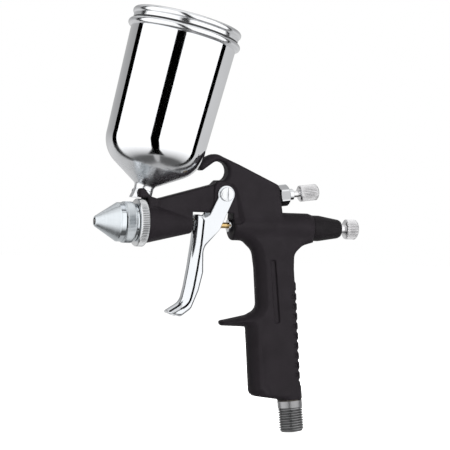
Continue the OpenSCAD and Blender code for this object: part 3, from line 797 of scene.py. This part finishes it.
# what skin() takes for each piece that it makes
SKINS = {
    "body_casting": (body_field, (14.5, -11.4, -93), (123, 11.4, 39.5), 0.45),
    "trigger_lever": (trigger_field, (39, -7, -50), (77, 7, 22.5), 0.27, 4),
    "chrome_neck": (neck_field, (16, -7.5, 10), (34, 7.5, 19.5), 0.22),
    "pivot_screw": (screw_field, (66.5, -8.4, 12.3), (74.5, 8.6, 20.3), FINE),
    "pivot_nut": (nut_field, (66.5, 6, 12.3), (74.5, 8.5, 20.3), FINE),
    "stem_packing_nut": (gland_field, (73.3, -3.7, -3.7), (79, 3.7, 3.7), FINE),
}


# ------------------------------------------------------------------ turned pieces of the gun

def make_air_cap():
    """Satin cone, polished step, fine knurled band and polished groove."""
    band_r = 10.8
    front = rounded([(0.3, 1.85, 0), (0.3, 2.5, 0.15), (0.75, 2.95, 0.3), (11.8, 9.9, 0.4),
                     (12.3, 10.25, 0.3), (14.9, 10.25, 0.2), (15.15, 10.5, 0.1),
                     (15.45, band_r, 0.1)])
    rear = rounded([(20.1, band_r, 0.1), (20.45, 10.0, 0.2), (21.2, 9.8, 0.2), (22, 10.0, 0.15),
                    (22, 9, 0.15), (14, 9, 0), (11.5, 8.4, 0), (4, 3, 0), (3, 1.85, 0)])
    band = [(s, band_r) for s in np.linspace(15.7, 19.9, 9)]
    return lathe("air_cap_cone", BARREL, front + band + rear, 540,
                 knurl(90, 0.32, 15.6, 20.1, band_r), 30)


def make_lock_ring():
    """The coarse-knurled ring behind the air cap, with a groove for its clip."""
    band_r = 12.5
    band = np.linspace(22.95, 26.4, 9)
    profile = ([(22.3, 8.98), (22.3, 11.7), (22.42, 11.95), (22.75, 12.35)]
               + [(s, band_r) for s in band]
               + [(26.7, 12.3), (27.12, 11.85), (27.2, 11.6), (27.2, 8.98), (24.9, 8.98),
                  (24.9, 9.4), (23.9, 9.4), (23.9, 8.98)])
    return lathe("knurled_lock_ring", BARREL, profile, 640,
                 knurl(80, 0.5, 22.8, 26.6, band_r, 0.3), 30)


def make_nozzle():
    """The fluid nozzle: only its tip shows."""
    profile = rounded([(0, 0.5, 0.08), (0, 0.95, 0.12), (2.5, 1.5, 0), (8, 2.6, 0), (11, 4.2, 0),
                       (12.6, 4.2, 0), (12.6, 7.4, 0.2), (15.4, 7.4, 0.2), (15.4, 4.5, 0),
                       (27.6, 4.5, 0), (28, 4.1, 0), (28, 2.1, 0), (10, 2.1, 0), (1.4, 0.5, 0)])
    return lathe("fluid_tip", BARREL, profile, 96)


def make_tail():
    """The black tapered sleeve that the rear knob screws into."""
    profile = rounded([
        (114.6, 3.5, 0), (114.6, 4.9, 0.3), (121.25, 4.9, 0.1), (121.25, 6.85, 0.3),
        (125.2, 6.85, 4), (136.3, 5.0, 1.0),
        (137.8, 4.2, 0.9), (137.8, 3.3, 0.2), (136.4, 3.3, 0), (136.4, 2.65, 0),
        (132.5, 2.65, 0), (132.5, 3.5, 0)])
    return lathe("tail_sleeve", BARREL, profile, 128)


def knob(name, axis, stem, start, end, radius, rear, teeth, depth):
    """A knob, with a knurled head from start to end between its stem and its rear."""
    head = ([(start, radius - 1.0), (start + 0.12, radius - 0.75), (start + 0.6, radius - 0.08)]
            + [(s, radius) for s in np.linspace(start + 0.75, end - 1.15, 9)]
            + [(end - 0.95, radius - 0.1), (end - 0.25, radius - 0.85), (end, radius - 1.3)])
    ribs = knurl(teeth, depth, start + 0.7, end - 1.1, radius)
    return lathe(name, axis, stem + head + rear, 8 * teeth, ribs, 30)


def make_fluid_knob():
    """The rear knob and its hollow stem."""
    stem = [(126.4, 1.55), (126.4, 2.5), (126.5, 2.6), (140.35, 2.6), (140.5, 2.75)]
    rear = [(147.42, 2.2), (147.2, 1.6), (147.2, 0), (132.5, 0), (132.5, 1.55)]
    return knob("rear_fluid_knob", BARREL, stem, 140.5, 147.5, 5.3, rear, 36, 0.42)


def make_air_knob():
    """The upper knob and its thin stem."""
    stem = [(-5.6, 0.95), (-5.6, 1.75), (11.6, 1.75), (11.8, 1.95)]
    rear = [(22.52, 1.7), (22.3, 1.2), (22.3, 0), (0, 0), (0, 0.95)]
    return knob("upper_air_knob", AIR, stem, 11.8, 22.6, 4.3, rear, 30, 0.4)


def make_air_gland():
    """The hexagonal gland nut that the air knob's stem passes through."""
    hex_rows = [0.1, 0.35, 0.6, 0.85, 2.8, 4.75, 5.0, 5.25, 5.55]
    profile = ([(-5, 1.8), (-5, 2.45), (0.08, 2.45)] + [(s, 5.75) for s in hex_rows]
               + rounded([(5.62, 4.4, 0), (5.62, 3.2, 0.2), (5.9, 3.0, 0.2), (8.4, 3.0, 0.3),
                          (8.4, 2.5, 0.1), (7, 2.5, 0), (7, 1.8, 0)]))
    return lathe("air_gland_hex", AIR, profile, 144, hexagon(9.96, 0.1, 5.55, 4.75), 30)


def make_stem():
    """The brass stem that the trigger pushes, with its valve collar inside."""
    profile = rounded([
        (55.95, 0.87, 0.1), (55.95, 1.55, 0.45), (84.3, 1.55, 0), (84.3, 3.1, 0),
        (85.9, 3.1, 0), (85.9, 1.55, 0), (104.4, 1.55, 0.2), (104.4, 0.87, 0)])
    return lathe("brass_stem", BARREL, profile, 64)


def make_inlet():
    """The air inlet: a plain collar above a rounded parallel thread."""
    pitch, depth, crest_r, root_end = 1.337, 0.43, 6.58, 5.5
    collar_end = 16.4
    outer = [(s, crest_r) for s in np.linspace(0.02, collar_end, 197)]
    inner_r = SOCKET_R - 0.1
    profile = ([(0, 4.4), (0, root_end)] + outer
               + [(collar_end, inner_r), (27.3, inner_r), (27.3, 4), (0.5, 4)])

    def thread(along, radius, angle):
        turn = (along / pitch - angle / (2 * math.pi)) % 1
        crest = np.abs(turn * 2 - 1)
        wave = 0.5 - 0.5 * np.cos(math.pi * np.clip((crest - 0.1) / 0.8, 0, 1))
        runout = np.clip((12.9 - along) / 1.0, 0, 1)
        cut_back = 2 * depth * wave * runout
        chamfer = root_end + along * 0.8
        return np.where(radius > 5.6, np.minimum(radius - cut_back, chamfer), radius)
    return lathe("threaded_inlet", INLET, profile, 96, thread, 60)


# ------------------------------------------------------------------ cup

NECK, NECK_BORE, WALL = 5.15, 3.7, 0.8
RIM = (28.2, 83.5)
BOWL_ARC, BOWL_SLOPE, BOWL_TOP, BOWL_LOW = 17, 34, 24.6, 26.4
LID_BEAD = (27.2, 89.9)


def cup_side(inset):
    """The bowl's arc and the straight side above it, as (radius, height)."""
    centre = (BOWL_LOW - BOWL_ARC, BOWL_TOP)
    bowl = arc(centre, BOWL_ARC - inset, BOWL_SLOPE - 90, 0, 28)
    return bowl + [(BOWL_LOW - inset + (RIM[0] - BOWL_LOW) * t, BOWL_TOP + (81.5 - BOWL_TOP) * t)
                   for t in (0.25, 0.5, 0.75, 1.0)]


def bowl_foot(radius, inset):
    """Where the cone under the bowl's arc comes down to a radius, as (radius, height)."""
    slope = math.radians(BOWL_SLOPE)
    u = BOWL_LOW - BOWL_ARC + (BOWL_ARC - inset) * math.sin(slope)
    v = BOWL_TOP - (BOWL_ARC - inset) * math.cos(slope)
    return (radius, v - (u - radius) * math.tan(slope))


def spin(name, points):
    """Turns (radius, height) points about the cup's axis."""
    return lathe(name, CUP, [(v, u) for u, v in points], 256, sharp=40)


def make_cup():
    """The spun cup: a neck, a rounded bowl, a straight side and a rolled rim."""
    foot = bowl_foot(NECK + 1.6, 0)
    outside = ([(NECK_BORE, -1), (NECK - 0.15, -1), (NECK, -0.85)]
               + arc((NECK + 2.4, foot[1] - 1.9), 2.4, 180, 120, 8) + cup_side(0)
               + arc(RIM, 2.0, -75, 62, 18) + [(RIM[0] + 0.3, 85.2), (RIM[0] - WALL, 85.2)])
    inside = [(RIM[0] - WALL, 81.5)] + cup_side(WALL)[-2::-1] + [bowl_foot(NECK_BORE, WALL)]
    return spin("spun_cup", outside + inside)


def make_lid():
    """The lid: a low dome, a rolled bead, a skirt that plugs the cup, and a vent hole."""
    plug = RIM[0] - WALL - 0.3
    v = LID_BEAD[1]
    outside = ([(0, v + 2.4), (7, v + 2.36), (14, v + 2.2), (20, v + 1.95), (24.4, v + 1.62)]
               + arc(LID_BEAD, 2.0, 96, -56, 20)
               + [(28.3, v - 1.95), (28.3, v - 3.45), (28.15, v - 3.6)])
    inside = [(plug, v - 3.6), (plug, 79.15), (plug - 0.15, 79), (plug - WALL, 79),
              (plug - WALL, v), (14, v + 1.3), (0, v + 1.5)]
    lid = spin("cup_lid_pressed", outside + inside)
    drill = lathe("vent_drill", Axis(0, 0, 90), [(-4, 0), (-4, 0.8), (4, 0.8), (4, 0)], 32)
    lean = Matrix.Rotation(math.radians(CUP_LEAN), 4, "Y")
    # the vent hole is this far from the lid's middle, towards +y
    vent_out = 14.0
    spot = Vector(to_row(CUP.at(np.array(v + 2.0), np.array(vent_out), np.array(0.0))))
    drill.data.transform(Matrix.Translation(-Vector(ORIGIN)))
    drill.matrix_world = Matrix.Translation(spot) @ lean
    drill.modifiers.clear()
    carve = lid.modifiers.new("vent", "BOOLEAN")
    carve.operation = "DIFFERENCE"
    carve.object = drill
    carve.solver = "EXACT"
    bpy.context.view_layer.update()
    seen = bpy.context.evaluated_depsgraph_get()
    lid.data = bpy.data.meshes.new_from_object(lid.evaluated_get(seen))
    lid.modifiers.clear()
    bpy.data.objects.remove(drill)
    return tidy_mesh(lid, 40)


# ------------------------------------------------------------------ assembly

# maker or name in SKINS, the body it rides on, its material slot, the CAD node it replaces
PIECES = [
    ("body_casting", "gun", "body_coating", "gun_body"),
    (make_tail, "gun", "tail_coating", "tail_housing"),
    (make_nozzle, "gun", "nozzle_steel", "fluid_nozzle"),
    (make_air_cap, "air_cap", "cap_aluminium", "air_cap"),
    (make_lock_ring, "lock_ring", "ring_nickel", "cap_lock_ring"),
    (make_cup, "gun", "cup_chrome", "cup"),
    ("chrome_neck", "gun", "cup_chrome", "cup_neck"),
    (make_lid, "lid", "cup_chrome", "cup_lid"),
    ("trigger_lever", "trigger", "trigger_chrome", "trigger"),
    ("pivot_screw", "gun", "fastener_nickel", "trigger_screw"),
    ("pivot_nut", "gun", "fastener_nickel", "trigger_nut"),
    ("stem_packing_nut", "gun", "fastener_nickel", "air_valve_packing_nut"),
    (make_stem, "valve_stem", "brass", "air_valve_stem"),
    (make_fluid_knob, "fluid_knob", "knob_nickel", "fluid_knob"),
    (make_air_knob, "air_knob", "knob_nickel", "air_knob"),
    (make_air_gland, "gun", "fastener_nickel", "air_gland_nut"),
    (make_inlet, "gun", "inlet_nickel", "inlet_fitting"),
]


def make_pieces(finishes):
    """Every detailed piece, with its finish, riding on its body in its CAD node's place."""
    for maker, body, slot, node in PIECES:
        piece = skin(maker, *SKINS[maker]) if maker in SKINS else maker()
        piece.data.materials.clear()
        piece.data.materials.append(finishes[slot])
        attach(piece, body)
        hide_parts(node)


def finish_cad_nodes(finishes):
    """CAD nodes that stay in view or inside take the finish of their record slot."""
    for part in frame["record"]["subparts"]:
        node = frame["nodes"][part["node"]]
        if not node.material_slots:
            node.data.materials.append(None)
        for place in node.material_slots:
            place.material = finishes[part["material_slot"]]


# ------------------------------------------------------------------ studio

def glow_white(name, colour, roughness):
    """A matt material that can glow white; returns it with its tree and its shader."""
    material, tree, shader = new_material(name, colour, roughness=roughness)
    feed(shader, "Specular IOR Level", 0.0)
    feed(shader, "Emission Color", (1, 1, 1, 1))
    return material, tree, shader


def add_floor(level):
    """A plain pale floor that the gun's inlet touches. It doesn't show in the metal, and
    glows for the camera so that it meets the white background without a line."""
    mesh = bpy.data.meshes.new("floor")
    half, camera_glow = 6.0, 0.95
    corners = [(-half, -half), (half, -half), (half, half), (-half, half)]
    mesh.from_pydata([(*corner, level) for corner in corners], [], [(0, 1, 2, 3)])
    floor = add_to_scene("floor", mesh)
    material, tree, shader = glow_white("pale_floor", (0.8, 0.8, 0.8), 0.9)
    path = add_node(tree, "LightPath", {})
    glow = maths(tree, "MULTIPLY", path.outputs["Is Camera Ray"], camera_glow)
    feed(shader, "Emission Strength", glow)
    feed(shader, "Base Color", tint(tree, noise(tree, 0.5), (0.79,) * 3, (0.81,) * 3))
    mesh.materials.append(material)
    floor.visible_glossy = False


def around(azimuth, elevation, distance, centre):
    """A place seen from centre at that azimuth and elevation; azimuth 0 is along -y."""
    a, e = math.radians(azimuth), math.radians(elevation)
    return centre + distance * Vector((math.sin(a) * math.cos(e), -math.cos(a) * math.cos(e),
                                       math.sin(e)))


def add_key(name, azimuth, elevation, distance, size, radiance, centre):
    """A soft lamp that lights the gun but doesn't show in its metal."""
    lamp = bpy.data.lights.new(name, "AREA")
    lamp.shape = "SQUARE"
    lamp.size = size
    lamp.energy = radiance * math.pi * size * size
    holder = add_to_scene(name, lamp)
    place = around(azimuth, elevation, distance, centre)
    aim = (centre - place).to_track_quat("-Z", "Y").to_matrix().to_4x4()
    holder.matrix_world = Matrix.Translation(place) @ aim
    holder.visible_camera = False
    holder.visible_glossy = False


def add_panel(name, azimuths, elevations, radius, radiance, centre, fade=None, spread_out=0):
    """A curved card round the gun that shows only in its metal: white, grey or black. It may
    fade from radiance to another value between two elevations, and its lower edge may reach
    spread_out degrees further at each side."""
    columns, mesh = 24, bpy.data.meshes.new(name)
    points = []
    for k in range(columns + 1):
        azimuth = azimuths[0] + (azimuths[1] - azimuths[0]) * k / columns
        lower = azimuth + spread_out * (2 * k / columns - 1)
        for turn, elevation in zip((lower, azimuth), elevations):
            spot = around(turn, 0, radius, centre)
            spot.z += radius * math.tan(math.radians(elevation))
            points.append(spot)
    faces = [(2 * k, 2 * k + 1, 2 * k + 3, 2 * k + 2) for k in range(columns)]
    mesh.from_pydata(points, [], faces)
    panel = add_to_scene(name, mesh)
    material, tree, shader = glow_white(name, (0, 0, 0), 1.0)
    feed(shader, "Emission Strength", radiance)
    if fade:
        start, end, level = fade
        split = add_node(tree, "SeparateXYZ", {"Vector": object_coordinates(tree)})
        high, low = [centre.z + radius * math.tan(math.radians(e)) for e in (start, end)]
        glow = spread(tree, split.outputs["Z"], level, radiance, low, high)
        feed(shader, "Emission Strength", glow)
    mesh.materials.append(material)
    for ray in ("camera", "diffuse", "shadow", "transmission"):
        setattr(panel, "visible_" + ray, False)


CAMERA_AZIMUTH = -20.0
CAMERA_ROLL = math.radians(1.9)
CAMERA_DISTANCE = 1.3728
CAMERA_LENS = 208.0
AIM = Vector(to_row((72.4, 0, 0.2)))


def add_camera():
    """A level camera a little to the front of the gun's side, rolled slightly."""
    camera = bpy.data.cameras.new("camera")
    camera.lens = CAMERA_LENS
    camera.sensor_width = 36.0
    camera.clip_start = 0.01
    holder = add_to_scene("camera", camera)
    place = around(CAMERA_AZIMUTH, 0, CAMERA_DISTANCE, AIM)
    back = (place - AIM).normalized()
    level = Vector((0, 0, 1)).cross(back)
    right = math.cos(CAMERA_ROLL) * level + math.sin(CAMERA_ROLL) * Vector((0, 0, 1))
    up = back.cross(right)
    turn = Matrix((right, up, back)).transposed().to_4x4()
    holder.matrix_world = Matrix.Translation(place) @ turn
    bpy.context.scene.camera = holder


# how bright the world is at heights from straight down (0) to straight up (1)
WORLD_STOPS = ((0.0, 0.5), (0.4, 0.7), (0.66, 0.36), (1.0, 1.0))


def add_world():
    """White behind the gun and dim on it. Its metal sees greys by height."""
    world = bpy.data.worlds.new("studio")
    bpy.context.scene.world = world
    world.use_nodes = True
    tree = world.node_tree
    place = add_node(tree, "TexCoord", {}).outputs["Generated"]
    split = add_node(tree, "SeparateXYZ", {"Vector": place})
    ramp = add_node(tree, "ValToRGB", {"Fac": spread(tree, split.outputs["Z"], 0, 1, -1, 1)})
    stops = ramp.color_ramp.elements
    for position, level in WORLD_STOPS[1:-1]:
        stops.new(position)
    for stop, (position, level) in zip(stops, WORLD_STOPS):
        stop.position = position
        stop.color = (level, level, level, 1)
    path = add_node(tree, "LightPath", {})
    colour = ramp.outputs["Color"]
    for kind, level in (("Is Diffuse Ray", 0.16), ("Is Camera Ray", 1.0)):
        colour = blend(tree, path.outputs[kind], colour, (level, level, level))
    feed(tree.nodes["Background"], "Color", colour)


# azimuths from the camera's, elevations, radius, radiance, and for some a fade or a flare
CARD, GAP = 1.3, 0.0
CARDS = {
    "left_card": ((-100, -12), (-80, 52), 1.1, CARD, {"fade": (-18, -52, 0.12)}),
    "right_card": ((7, 95), (-80, 52), 1.1, CARD, {"fade": (-18, -52, 0.12)}),
    "camera_gap": ((-12, 7), (-27, 52), 1.08, GAP, {}),
    "camera_foot": ((-12, 7), (-46, -27), 1.08, GAP, {"spread_out": 16}),
    "right_gap": ((95, 108), (-70, 60), 1.1, GAP, {}),
    "left_gap": ((-116, -100), (-60, 70), 1.1, GAP, {}),
}
# azimuth from the camera's, and elevation
KEYS = {"key": (36, 2), "back_key": (216, 14)}


def light_studio():
    """Two lamps for the black body, and cards that draw the stripes in the metal."""
    centre = Vector(to_row((60, 0, 10)))
    look = CAMERA_AZIMUTH
    for name, (azimuth, elevation) in KEYS.items():
        add_key(name, look + azimuth, elevation, 1.3, 0.9, 10.0, centre)
    for name, (azimuths, elevations, radius, radiance, more) in CARDS.items():
        azimuths = [look + a for a in azimuths]
        add_panel(name, azimuths, elevations, radius, radiance, centre, **more)


bpy.context.scene.view_settings.view_transform = "Standard"
add_camera()
add_world()
light_studio()
add_floor(cad_box[0][2])
finishes = make_materials()
finish_cad_nodes(finishes)
make_pieces(finishes)
